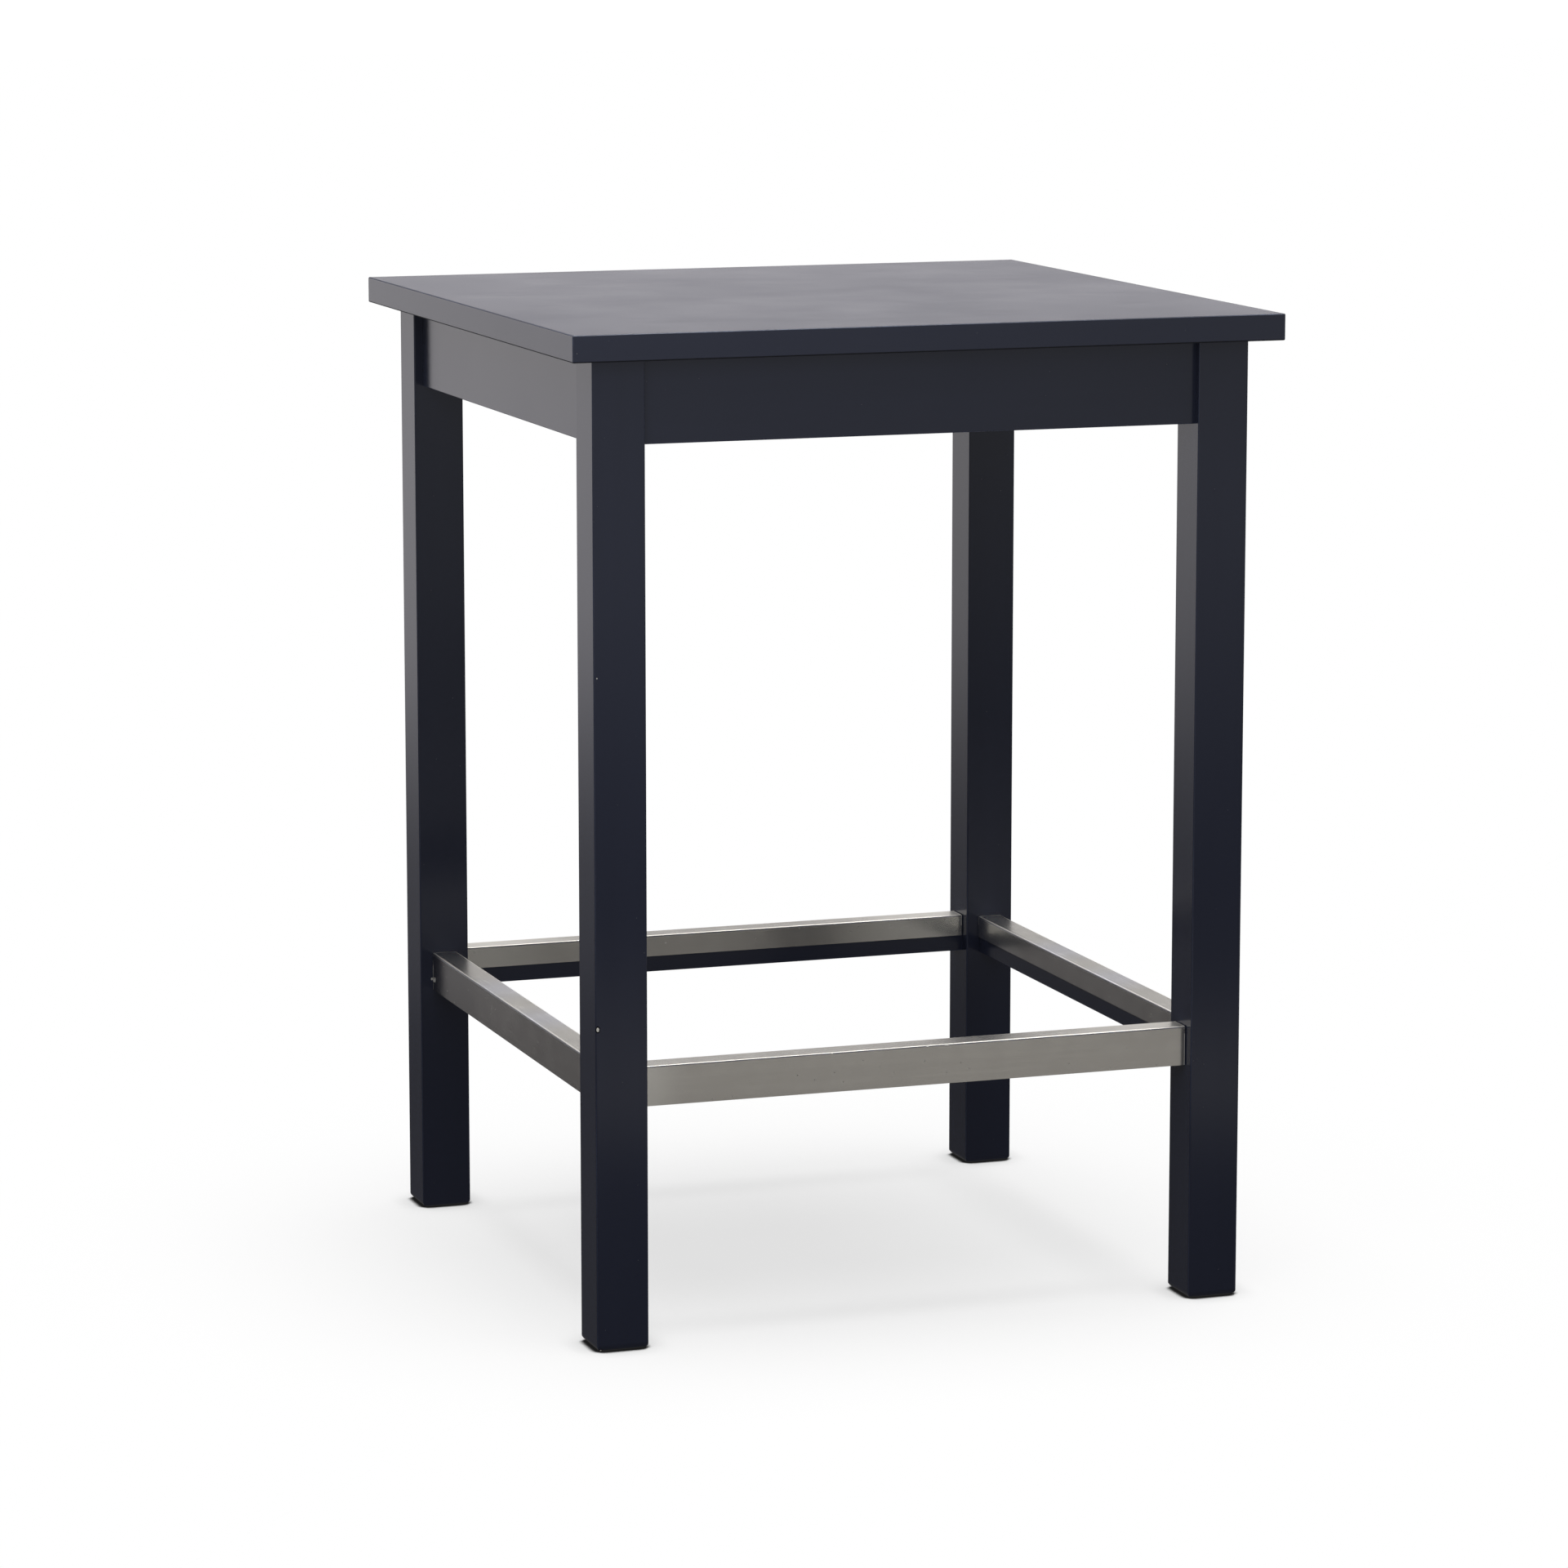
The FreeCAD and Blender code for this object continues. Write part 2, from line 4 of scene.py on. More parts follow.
import bpy
import numpy as np
from bpy.props import FloatProperty, FloatVectorProperty, IntProperty, PointerProperty
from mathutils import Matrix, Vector


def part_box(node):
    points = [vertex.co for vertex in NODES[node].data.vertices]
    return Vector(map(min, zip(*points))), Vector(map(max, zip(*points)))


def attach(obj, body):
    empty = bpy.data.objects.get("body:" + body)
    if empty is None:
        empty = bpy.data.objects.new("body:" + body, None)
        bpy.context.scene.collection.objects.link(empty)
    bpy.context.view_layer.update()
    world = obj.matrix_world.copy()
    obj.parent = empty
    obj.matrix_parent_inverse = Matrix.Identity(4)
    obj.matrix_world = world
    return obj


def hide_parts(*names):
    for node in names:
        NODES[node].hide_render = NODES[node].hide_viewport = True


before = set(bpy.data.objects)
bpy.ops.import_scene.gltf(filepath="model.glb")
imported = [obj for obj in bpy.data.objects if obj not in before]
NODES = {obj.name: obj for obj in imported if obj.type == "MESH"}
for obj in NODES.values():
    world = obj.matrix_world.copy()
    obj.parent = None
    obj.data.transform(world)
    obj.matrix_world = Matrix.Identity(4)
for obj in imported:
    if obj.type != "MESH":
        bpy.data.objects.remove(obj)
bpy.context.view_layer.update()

bl_info = {
    "name": "Painted pub table",
    "version": (1, 0, 0),
    "blender": (4, 5, 0),
    "location": "View3D > Sidebar > Pub table",
    "description": "Finishes, threaded bolts and a plain studio for a pub table with steel foot rails",
    "category": "Object",
}

CORNERS = ("front_left", "front_right", "back_right", "back_left")
ALONG_X, ALONG_Y, ALONG_Z = 0, 1, 2
MM = 0.001
ENDLESS = 1.0                # half length of a bar whose ends are hidden in the legs
BLACK, WHITE = (0.0, 0.0, 0.0), (1.0, 1.0, 1.0)


# ---- patterns and marks

class Noise(NamedTuple):
    """A noise: its cells to the metre along and across the grain, its detail and its shift."""
    lengthwise: float
    crosswise: float
    detail: float
    shift: float = 0.0


class Specks(NamedTuple):
    """Round spots: cells to the metre, the share of cells that hold one, and its radius in cells."""
    per_metre: float
    share: float
    size: float


class Mark(NamedTuple):
    """A mark: its middle and its reach along x, y and z in metres, its strength, and its colour's name."""
    middle: tuple
    reach: tuple
    strength: float = 1.0
    colour: str = ""


FIBRE = Noise(9, 420, 3)                 # grain seen through the paint
SWELL = Noise(3, 45, 1, 3.1)             # broad bands of the planed wood
PEEL = Noise(380, 380, 1, 7.7)           # fine waves of the paint itself
SMEAR = Noise(7, 7, 3, 11.3)             # places that hands have left duller
TORN = Noise(900, 900, 2, 5.9)           # ragged edges of chips and of rubbed arrises
DUST = Specks(260, 0.012, 0.16)

LINES = Noise(14, 2600, 2)               # brushed lines of the steel
BANDS = Noise(2.5, 150, 2, 2.3)          # darker bands among them
CLOUDS = Noise(38, 38, 4, 6.1)           # handling marks
NOTCHED = Noise(700, 700, 2, 9.7)        # ragged edges of nicks
PITS = Specks(330, 0.02, 0.22)

TINT = Noise(60, 60, 3)                  # blue and straw of the zinc
TOOTH = Noise(1500, 1500, 2, 4.7)        # its satin
DULL_SPOTS = Specks(420, 0.06, 0.3)

BEECH_BANDS = Noise(90, 90, 3)
FLECKS = Noise(520, 520, 2, 8.3)

TOP_CHIPS = (Mark((-0.3707, -0.3750, 1.0026), (0.0006, 0.0006, 0.0006), 0.07),)
LEG_CHIPS = (Mark((-0.3447, -0.3470, 0.3296), (0.0014, 0.0014, 0.0022)),
             Mark((-0.3345, 0.2930, 0.2568), (0.0011, 0.0010, 0.0015), 0.7),
             Mark((-0.3436, -0.3470, 0.6807), (0.0007, 0.0007, 0.0007), 0.7),
             Mark((-0.3428, -0.3443, 0.0016), (0.0008, 0.0012, 0.0024)))
FRONT_NICKS = (Mark((0.0092, -0.3330, 0.2855), (0.0020, 0.0010, 0.0010)),
               Mark((0.0304, -0.3330, 0.2855), (0.0030, 0.0010, 0.0010)),
               Mark((-0.0936, -0.3330, 0.2855), (0.0012, 0.0010, 0.0010)))
# Two burrs at the far end of the left cover, and, last, a painted glint along its cut end.
LEFT_BURRS_AND_GLINT = (Mark((-0.3335, 0.2880, 0.2558), (0.0012, 0.0048, 0.0017)),
              Mark((-0.3335, 0.2838, 0.2578), (0.0012, 0.0020, 0.0022)),
              Mark((-0.3335, 0.2912, 0.2655), (0.0012, 0.0010, 0.0075)))
# Paler and dimmer stretches near the covers' ends are painted reflections.
END_PAINTED_REFLECTIONS = (Mark((0.31, 0.32, 0.26), (0.20, 0.05, 0.20), 1.0, "nick_colour"),
                 Mark((-0.30, 0.32, 0.26), (0.12, 0.05, 0.20), 0.6, "nick_colour"),
                 Mark((-0.31, -0.32, 0.26), (0.07, 0.05, 0.20), 0.8, "nick_colour"))
SIDE_PAINTED_REFLECTIONS = (Mark((-0.3335, 0.24, 0.26), (0.05, 0.20, 0.20), 1.0, "dim_colour"),
                  Mark((0.3065, 0.29, 0.26), (0.05, 0.16, 0.20), 1.0, "nick_colour"))


# ---- recipes for finishes

class Value:
    """A number that varies over a surface. Its sums add Math nodes to the finish."""

    def __init__(self, finish, socket):
        self.finish = finish
        self.socket = socket

    def sum(self, operation, *values):
        return self.finish.node("Math", {"operation": operation}, dict(enumerate(values)))

    def __add__(self, other):
        return self.sum("ADD", self, other)

    def __mul__(self, other):
        return self.sum("MULTIPLY", self, other)

    def __sub__(self, other):
        return self.sum("SUBTRACT", self, other)

    def __rsub__(self, other):
        return self.sum("SUBTRACT", other, self)

    def __abs__(self):
        return self.sum("ABSOLUTE", self)

    __radd__ = __add__
    __rmul__ = __mul__

    def least(self, other):
        return self.sum("MINIMUM", self, other)

    def most(self, other):
        return self.sum("MAXIMUM", self, other)

    def ramp(self, start, end):
        """A soft step, 0 at start and 1 at end, whichever of the two is larger."""
        step = self.finish.node("MapRange", {"interpolation_type": "SMOOTHSTEP"},
                                {"Value": self, "From Min": min(start, end), "From Max": max(start, end)})
        return step if start < end else 1 - step

    def between(self, first, second):
        """first where the value is 0, turning into second where it is 1."""
        return first + self * (second - first)

    def swing(self, width):
        """A noise as a change that is so wide in all, half of it down and half of it up."""
        return (self - 0.5) * width

    def stepped(self, base, steps):
        """Soft steps from a base: each has its start, its end and the change it makes."""
        for start, end, change in steps:
            base = base + self.ramp(start, end) * change
        return base


class Finish:
    """A material or world that is mixed node by node."""

    SPOT_EDGE = (1.1, 0.9)         # where a spot starts and is full, in its reach from its middle
    HAZE_EDGE = (1.0, 0.3)         # the same for a haze
    SURE_SHARE = 0.9               # of the cells that may hold a speck, those where it is full

    def __init__(self, owner):
        self.owner = owner
        owner.use_nodes = True
        self.tree = owner.node_tree
        self.tree.nodes.clear()

    def node(self, kind, settings=None, values=None, output=0):
        """Adds a node: first its settings, then the values or links of its sockets."""
        node = self.tree.nodes.new("ShaderNode" + kind)
        for name, setting in (settings or {}).items():
            setattr(node, name, setting)
        for name, value in (values or {}).items():
            if isinstance(value, Value):
                self.tree.links.new(value.socket, node.inputs[name])
            else:
                node.inputs[name].default_value = value
        return Value(self, node.outputs[output]) if len(node.outputs) else node

    def place(self):
        """A point's place on the table, in metres."""
        return self.node("TexCoord", output="Object")

    def split(self, vector):
        """The x, y and z of a vector."""
        node = self.node("SeparateXYZ", values={0: vector}).socket.node
        return [Value(self, socket) for socket in node.outputs]

    def length(self, vector):
        """The length of a vector."""
        return self.node("VectorMath", {"operation": "LENGTH"}, {0: vector}, "Value")

    def cells(self, place, per_metre, shift=0.0):
        """The place measured in cells, with so many to the metre along x, y and z."""
        return self.node("Mapping", values={"Vector": place, "Location": (shift,) * 3, "Scale": per_metre})

    def noise(self, place, noise, grain=ALONG_X):
        """A noise from 0 to 1."""
        per_metre = [noise.lengthwise if axis == grain else noise.crosswise
                     for axis in (ALONG_X, ALONG_Y, ALONG_Z)]
        cells = self.cells(place, per_metre, noise.shift)
        return self.node("TexNoise", values={"Vector": cells, "Scale": 1.0, "Detail": noise.detail})

    def specks(self, place, specks):
        """1 in small round spots."""
        cells = self.cells(place, (specks.per_metre,) * 3)
        dots = self.node("TexVoronoi", values={"Vector": cells, "Scale": 1.0}).socket.node
        chance = self.split(Value(self, dots.outputs["Color"]))[0]
        round_spot = Value(self, dots.outputs["Distance"]).ramp(specks.size, specks.size / 2)
        return round_spot * chance.ramp(specks.share, specks.share * self.SURE_SHARE)

    def away(self, place, mark, size=1.0):
        """The distance from a mark's middle, measured in so many times its reach."""
        reach = [part * size for part in mark.reach]
        away = self.node("VectorMath", {"operation": "SUBTRACT"}, {0: place, 1: mark.middle})
        return self.length(self.node("VectorMath", {"operation": "DIVIDE"}, {0: away, 1: reach}))

    def spot(self, place, mark, ragged, size=1.0):
        """1 in a ragged spot, so many times as large as its mark."""
        return (self.away(place, mark, size) + ragged).ramp(*self.SPOT_EDGE)

    def haze(self, place, mark):
        """1 at a mark's middle, fading to 0 where its reach ends."""
        return self.away(place, mark).ramp(*self.HAZE_EDGE)

    def mixed(self, share, first, second):
        """One colour turning into another as share goes from 0 to 1."""
        node = self.tree.nodes.new("ShaderNodeMix")
        node.data_type = "RGBA"
        sockets = {socket.identifier: socket for socket in [*node.inputs, *node.outputs]}
        for name, value in (("Factor_Float", share), ("A_Color", first), ("B_Color", second)):
            if isinstance(value, Value):
                self.tree.links.new(value.socket, sockets[name])
            else:
                sockets[name].default_value = value
        return Value(self, sockets["Result_Color"])

    def relief(self, height):
        """The normal of a surface with so many millimetres of height."""
        return self.node("Bump", values={"Height": height, "Distance": MM})

    def end(self, shader, kind="OutputMaterial"):
        """Sends a shader to the output."""
        self.node(kind, values={"Surface": shader})
        return self.owner

    def shader(self, **sockets):
        """The main shader, its sockets named with underscores."""
        return self.node("BsdfPrincipled", values={name.replace("_", " "): value
                                                   for name, value in sockets.items()})


class Coat:
    """The colour, the height in millimetres and the roughness of a finish, laid pattern over pattern."""

    def __init__(self, colour, height, roughness):
        self.colour = colour
        self.height = height
        self.roughness = roughness

    def lay(self, pattern, colour, share=1.0, height=0.0, rougher=0.0):
        """Lays a share of a colour on a pattern, and adds so much to its height and roughness."""
        factor = pattern if share == 1 else pattern * share
        self.colour = pattern.finish.mixed(factor, self.colour, colour)
        if height:
            self.height = self.height + pattern * height
        if rougher:
            self.roughness = self.roughness + pattern * rougher


def new_finish(name):
    """An empty material recipe."""
    return Finish(bpy.data.materials.new(name))


def opaque(colour, strength=1.0):
    """A colour with its alpha, made paler or darker by strength."""
    return (*(part * strength for part in colour), 1.0)


def arris_distance(finish, place, centre, half):
    """Millimetres from a point on a bar to its nearest arris: the middle one of its three depths."""
    depths = []
    for part, middle, reach in zip(finish.split(place), centre, half):
        mirrored = abs(part) if middle else part
        depths.append((reach - abs(mirrored - middle)) * (1 / MM))
    low, high = depths[0].least(depths[1]), depths[0].most(depths[1])
    return low.most(high.least(depths[2]))


# Paint. A pair holds the values where a soft step starts and where it is full; a shade is a share of a
# colour.
PAINT_SHADES = (0.93, 1.07)                    # darkest and palest
# A rubbed arris is worn paint and also a painted highlight, a bluish line along the arris.
RUB_AND_HIGHLIGHT_WANDER, RUB_AND_HIGHLIGHT_FADE, RUB_AND_HIGHLIGHT_FULL = 1.2, 0.9, 0.5     # millimetres of a rubbed arris's inner edge
RUB_AND_HIGHLIGHT_PATCHES = (0.32, 0.55)
# The dark line along an underside is painted shade.
SHADOW_LINE_START, SHADOW_LINE_FULL = 1.7 * MM, 0.9 * MM        # heights above the underside
SHADOW_LINE_SHADE, SHADOW_RIM_SHADE = 0.2, 0.05
# A chip's dark rim is painted shade.
SHADOW_RIM_SIZE = 1.6                                 # a chip's dark rim against its bare middle
SWELL_HEIGHT, PEEL_HEIGHT, CHIP_HEIGHT = 0.015, 0.003, -0.12               # millimetres
FIBRE_ROUGHER = 0.02


def painted_wood(name, paint, grain, centre, half, gloss_index, rub_and_highlight_share=0.5, chips=(), underside=None):
    """Satin paint on planed wood: faint grain, mottled gloss, rubbed arrises with a painted highlight, dust,
    and chips.

    A chip of full strength is down to the wood and has a dark rim of painted shade. Where the level of an
    underside is given, a dark line of painted shade runs along it."""
    finish = new_finish(name)
    place = finish.place()
    fibre, swell = finish.noise(place, FIBRE, grain), finish.noise(place, SWELL, grain)
    peel, smear, torn = [finish.noise(place, noise) for noise in (PEEL, SMEAR, TORN)]
    inwards = arris_distance(finish, place, centre, half) + smear * RUB_AND_HIGHLIGHT_WANDER
    rub_and_highlight = inwards.ramp(paint.rub_and_highlight_width / MM + RUB_AND_HIGHLIGHT_FADE, RUB_AND_HIGHLIGHT_FULL) * torn.ramp(*RUB_AND_HIGHLIGHT_PATCHES)
    coat = Coat(finish.mixed(swell, *(opaque(paint.colour, shade) for shade in PAINT_SHADES)),
                fibre * (paint.grain_depth / MM) + swell * SWELL_HEIGHT + peel * PEEL_HEIGHT,
                paint.roughness + smear.swing(width=0.08) + fibre * FIBRE_ROUGHER)
    # Rubbed arrises: wear, and a painted bluish highlight along them.
    coat.lay(rub_and_highlight, opaque(paint.rub_and_highlight_colour), share=rub_and_highlight_share)
    coat.lay(finish.specks(place, DUST), opaque(paint.dust_colour), share=0.5, rougher=0.2)
    # Painted shade: a dark line along the edge of the underside.
    if underside is not None:
        level = finish.split(place)[ALONG_Z]
        shadow_line = level.ramp(underside + SHADOW_LINE_START, underside + SHADOW_LINE_FULL)
        coat.lay(shadow_line, opaque(paint.colour, SHADOW_LINE_SHADE), rougher=0.45)
    shadow_rim_metal = 0.0
    for chip in chips:
        bare = finish.spot(place, chip, torn.swing(width=0.6))
        if chip.strength == 1:
            # Painted shade: a dark rim round the chip, made a black metal so that it reflects nothing.
            shadow_rim = finish.spot(place, chip, torn.swing(width=0.5), SHADOW_RIM_SIZE)
            coat.lay(shadow_rim, opaque(paint.colour, SHADOW_RIM_SHADE))
            shadow_rim_metal = shadow_rim_metal + shadow_rim * (1 - bare)         # a black metal reflects nothing
        coat.lay(bare, opaque(paint.bare_colour), share=chip.strength,
                 height=CHIP_HEIGHT * chip.strength, rougher=0.3)
    return finish.end(finish.shader(Base_Color=coat.colour, Roughness=coat.roughness, IOR=gloss_index,
                                    Metallic=shadow_rim_metal, Normal=finish.relief(coat.height)))


# Steel covers. A pair holds the values where a soft step starts and where it is full, in millimetres
# from an arris or below the tread for the first five.
BEND_FROM_ARRIS, BEND_BELOW = (2.4, 1.4), (4.0, 2.5)
# The fold's dark line is painted shade over the bend's lower half.
FOLD_ABOVE, FOLD_UNDER = (0.5, 0.8), (1.9, 1.4)             # the two edges of the dark line
TREAD_BELOW = (0.9, 0.3)                       # where the face turns into the tread
# The cut ends carry a painted glint, a pale broken line along the sheet's end.
CUT_FROM_END = (0.9 * MM, 0.4 * MM)            # where the sheet's cut end is bruised
CUT_PATCHES, CLOUD_PATCHES, BAND_PATCHES = (0.40, 0.50), (0.25, 0.75), (0.3, 0.7)
STEEL_SHADES = (0.95, 1.04)                    # darkest and palest
# The tint laid on a bend is a painted highlight, bluish on the side rails and pale on the front and back
# ones.
BEND_HIGHLIGHT_TINTS = {ALONG_X: ("nick_colour", 0.25), ALONG_Y: ("tread_highlight_colour", 0.7)}   # colour and its share
BAND_HEIGHT = 0.002                            # millimetres
BRUSHING_LOST, SHINE_LOST_AT_CUT, SHINE_LOST_IN_NICK = 0.8, 0.7, 0.8
TREAD_WORN = 0.75                              # share of a tread's own colour over the brushed one
# A bluish painted highlight runs along each side tread, to both sides of its middle.
COOL_HIGHLIGHT_MIDDLE, COOL_HIGHLIGHT_REACH = 0.08, 0.08           # metres along a side rail, to both sides of the middle
DULL_RIGHT, DULL_LEFT, DULL_BACK = (0.12, 0.28), (-0.12, -0.26), (-0.1, 0.1)         # metres
DULL_ENDS = 0.08                               # roughness that shoes add to the ends of those treads
QUARTER_TURN = 0.25


def brushed_steel(name, steel, grain, centre, half, nicks_and_glints, painted_reflections):
    """Stainless sheet brushed along one axis.

    Its faces have fine lines, cloudy handling marks, pits, nicks, and paler or dimmer stretches of painted
    reflection. Over the bend into the tread the brushing fades, the bend takes a painted highlight tint, and
    the bend's lower half shows as a dark line of painted shade. The cut ends carry a painted glint."""
    finish = new_finish(name)
    place = finish.place()
    across, depth, level = finish.split(place)
    lines, bands = finish.noise(place, LINES, grain), finish.noise(place, BANDS, grain)
    clouds, notched = finish.noise(place, CLOUDS), finish.noise(place, NOTCHED)
    pits = finish.specks(place, PITS)
    below = (centre[ALONG_Z] + half[ALONG_Z] - level) * (1 / MM)
    bend = arris_distance(finish, place, centre, half).ramp(*BEND_FROM_ARRIS) * below.ramp(*BEND_BELOW)
    fold_shade = below.ramp(*FOLD_ABOVE) * below.ramp(*FOLD_UNDER)
    # Painted glint along the cut ends of the sheet.
    cut_glint = (half[grain] - abs((across, depth)[grain])).ramp(*CUT_FROM_END) * clouds.ramp(*CUT_PATCHES)

    shades = [opaque(steel.colour, shade) for shade in STEEL_SHADES]
    coat = Coat(finish.mixed(clouds.ramp(*CLOUD_PATCHES), *shades),
                lines * (steel.brush_depth / MM) * (1 - bend * BRUSHING_LOST) + bands * BAND_HEIGHT,
                steel.roughness + lines.swing(width=0.08) + clouds.swing(width=0.05))
    coat.lay(bands.ramp(*BAND_PATCHES), opaque(steel.shade_colour), share=0.25)
    # Painted reflections: paler and dimmer stretches near the ends.
    for painted_reflection in painted_reflections:
        coat.lay(finish.haze(place, painted_reflection), opaque(getattr(steel, painted_reflection.colour)), share=painted_reflection.strength)
    coat.lay(pits, opaque(steel.pit_colour), share=0.7, height=-0.02, rougher=0.2)
    # Painted highlight tint over the bend.
    bend_highlight_colour, bend_highlight_share = BEND_HIGHLIGHT_TINTS[grain]
    coat.lay(bend, opaque(getattr(steel, bend_highlight_colour)), share=bend_highlight_share, rougher=0.12)
    # Painted shade over the bend's lower half.
    coat.lay(fold_shade, opaque(steel.fold_shade_colour))
    # Painted glint at the cut ends.
    coat.lay(cut_glint, opaque(steel.nick_colour))
    shine = 1 - cut_glint * SHINE_LOST_AT_CUT
    # Nicks, and on the left cover also a painted glint along its cut end.
    for mark in nicks_and_glints:
        nick_and_glint = finish.spot(place, mark, notched.swing(width=0.8))
        coat.lay(nick_and_glint, opaque(steel.nick_colour), height=-0.08, rougher=0.15)
        shine = shine * (1 - nick_and_glint * SHINE_LOST_IN_NICK)

    normal = finish.relief(coat.height)
    face = finish.shader(Base_Color=coat.colour, Roughness=coat.roughness, Metallic=shine, Normal=normal,
                         Anisotropic=steel.smear, Anisotropic_Rotation=QUARTER_TURN)
    worn, scuffed = trodden(finish, steel, grain, coat, pits, across, depth)
    tread = finish.shader(Base_Color=worn, Roughness=scuffed, Metallic=shine, Normal=normal)
    return finish.end(finish.node("MixShader", values={0: below.ramp(*TREAD_BELOW), 1: face, 2: tread}))


def trodden(finish, steel, grain, coat, pits, across, depth):
    """The colour and roughness of a tread: a bluish painted highlight on side rails, duller ends on the
    others.
    """
    colour = opaque(steel.tread_colour)
    roughness = coat.roughness + (steel.tread_roughness - steel.roughness)
    if grain == ALONG_Y:
        # Painted bluish highlight on a side tread.
        cool_highlight = abs(abs(depth) - COOL_HIGHLIGHT_MIDDLE).ramp(COOL_HIGHLIGHT_REACH, 0.0)
        colour = finish.mixed(cool_highlight, colour, opaque(steel.tread_highlight_colour))
    else:
        dull = across.ramp(*DULL_RIGHT) + across.ramp(*DULL_LEFT) * depth.ramp(*DULL_BACK)
        roughness = roughness + dull * DULL_ENDS
    return finish.mixed((1 - pits) * TREAD_WORN, coat.colour, colour), roughness


TINT_PATCHES = (0.35, 0.65)
TOOTH_HEIGHT = 0.006         # millimetres


def zinc_plate(name, plating):
    """Zinc-plated steel: cloudy blue and straw tints, a fine satin tooth and small dull spots."""
    finish = new_finish(name)
    place = finish.place()
    tint, tooth = finish.noise(place, TINT), finish.noise(place, TOOTH)
    tints = opaque(plating.cool_colour), opaque(plating.warm_colour)
    coat = Coat(finish.mixed(tint.ramp(*TINT_PATCHES), *tints), tooth * TOOTH_HEIGHT,
                plating.roughness + tooth.swing(width=0.12))
    coat.lay(finish.specks(place, DULL_SPOTS), opaque(plating.dull_colour),
             share=0.5, height=-0.01, rougher=0.25)
    return finish.end(finish.shader(Base_Color=coat.colour, Roughness=coat.roughness,
                                    Metallic=plating.metallic, Normal=finish.relief(coat.height)))


FLECKS_SEEN = (0.62, 0.75)
FLECK_HEIGHT = 0.02          # millimetres
BEECH_ROUGHNESS, FLECKS_ROUGHER = 0.55, 0.15


def bare_beech(name, wood):
    """Unpainted hardwood: short dark flecks and soft bands."""
    finish = new_finish(name)
    place = finish.place()
    bands, flecks = finish.noise(place, BEECH_BANDS), finish.noise(place, FLECKS)
    coat = Coat(finish.mixed(bands, opaque(wood.light_colour), opaque(wood.dark_colour)),
                flecks * FLECK_HEIGHT, BEECH_ROUGHNESS + flecks * FLECKS_ROUGHER)
    coat.lay(flecks.ramp(*FLECKS_SEEN), opaque(wood.fleck_colour), share=0.6)
    return finish.end(finish.shader(Base_Color=coat.colour, Roughness=coat.roughness,
                                    Normal=finish.relief(coat.height)))


def dress(names, material):
    """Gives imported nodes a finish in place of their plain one."""
    for name in names:
        for slot in NODES[name].material_slots:
            slot.material = material


def paint_bars(paint, kind, name, gloss_indices):
    """Paints the bars of one kind on all four sides, with the grain along each bar."""
    for axis, sides, model in ((ALONG_X, ("front", "back"), "back"), (ALONG_Y, ("left", "right"), "right")):
        low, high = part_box(f"{kind}_{model}")
        half = (high - low) / 2
        half[axis] = ENDLESS
        material = painted_wood(f"{name}_{'xy'[axis]}", paint, axis, (low + high) / 2, half,
                                gloss_indices[axis])
        dress([f"{kind}_{side}" for side in sides], material)


# ---- surfaces

def new_mesh(name, points, faces):
    """An object at the origin with the given points, in metres, and smooth faces."""
    mesh = bpy.data.meshes.new(name)
    mesh.from_pydata(points.tolist(), [], faces)
    mesh.shade_smooth()
    made = bpy.data.objects.new(name, mesh)
    bpy.context.scene.collection.objects.link(made)
    return made


def tube_faces(rings, around):
    """Quads between rings of so many points each, turned to face outwards."""
    ring, point = np.meshgrid(np.arange(rings - 1), np.arange(around), indexing="ij")
    ring, point = ring.ravel(), point.ravel()
    after = (point + 1) % around
    return np.stack([ring * around + point, ring * around + after,
                     (ring + 1) * around + after, (ring + 1) * around + point], 1)


THREAD_FLAT = 0.1            # share of a flank's rise that is flat at the crest, and again at the root
BLUNT_POINT = 0.01 * MM      # radius left at the very point


def threaded_rod(start, end, fittings):
    """Points of a bolt along +Z, as rings of points.

    A point at height h and turn t is at the radius R - D * ramp(h / P - t), where ramp rises and
    falls once in each pitch P, the machine thread's near the nut and the wood thread's in the leg.
    Both threads run out to a bevel at the end, and the wood thread to a point at the start."""
    around = fittings.facets
    machine_start = start + fittings.wood_thread
    per_turn = fittings.rings_per_pitch
    wood = np.arange(start, machine_start, fittings.wood_pitch / per_turn)
    machine = np.append(np.arange(machine_start, end, fittings.pitch / per_turn), end)
    height = np.concatenate([wood, machine])
    pitch = np.where(height < machine_start, fittings.wood_pitch, fittings.pitch)
    depth = np.where(height < machine_start, fittings.wood_thread_depth, fittings.thread_depth)
    turn = np.arange(around) / around
    phase = ((height - machine_start) / pitch)[:, None] - turn[None, :]
    flank = np.clip((np.abs(2 * (phase % 1) - 1) - THREAD_FLAT) / (1 - 2 * THREAD_FLAT), 0, 1)
    radius = fittings.bolt_radius - depth[:, None] * flank
    bevel = (fittings.bolt_radius - fittings.bevel + (end - height))[:, None]
    point = ((height - start) / fittings.point_length * fittings.bolt_radius)[:, None] + BLUNT_POINT
    radius = np.minimum(np.minimum(radius, bevel), point)
    angle = 2 * math.pi * turn
    return np.stack([radius * np.cos(angle), radius * np.sin(angle),
                     np.broadcast_to(height[:, None], radius.shape)], 2)


def capped(rings):
    """A closed skin over rings of points, with a point in the middle of each end."""
    count, around = rings.shape[:2]
    centres = rings[[0, -1]].mean(1)
    points = np.concatenate([rings.reshape(-1, 3), centres])
    body = tube_faces(count, around)
    here = np.arange(around)
    after = (here + 1) % around
    last = (count - 1) * around
    low = np.stack([np.full(around, count * around), after, here], 1)
    high = np.stack([np.full(around, count * around + 1), last + here, last + after], 1)
    return points, [*body.tolist(), *low.tolist(), *high.tolist()]


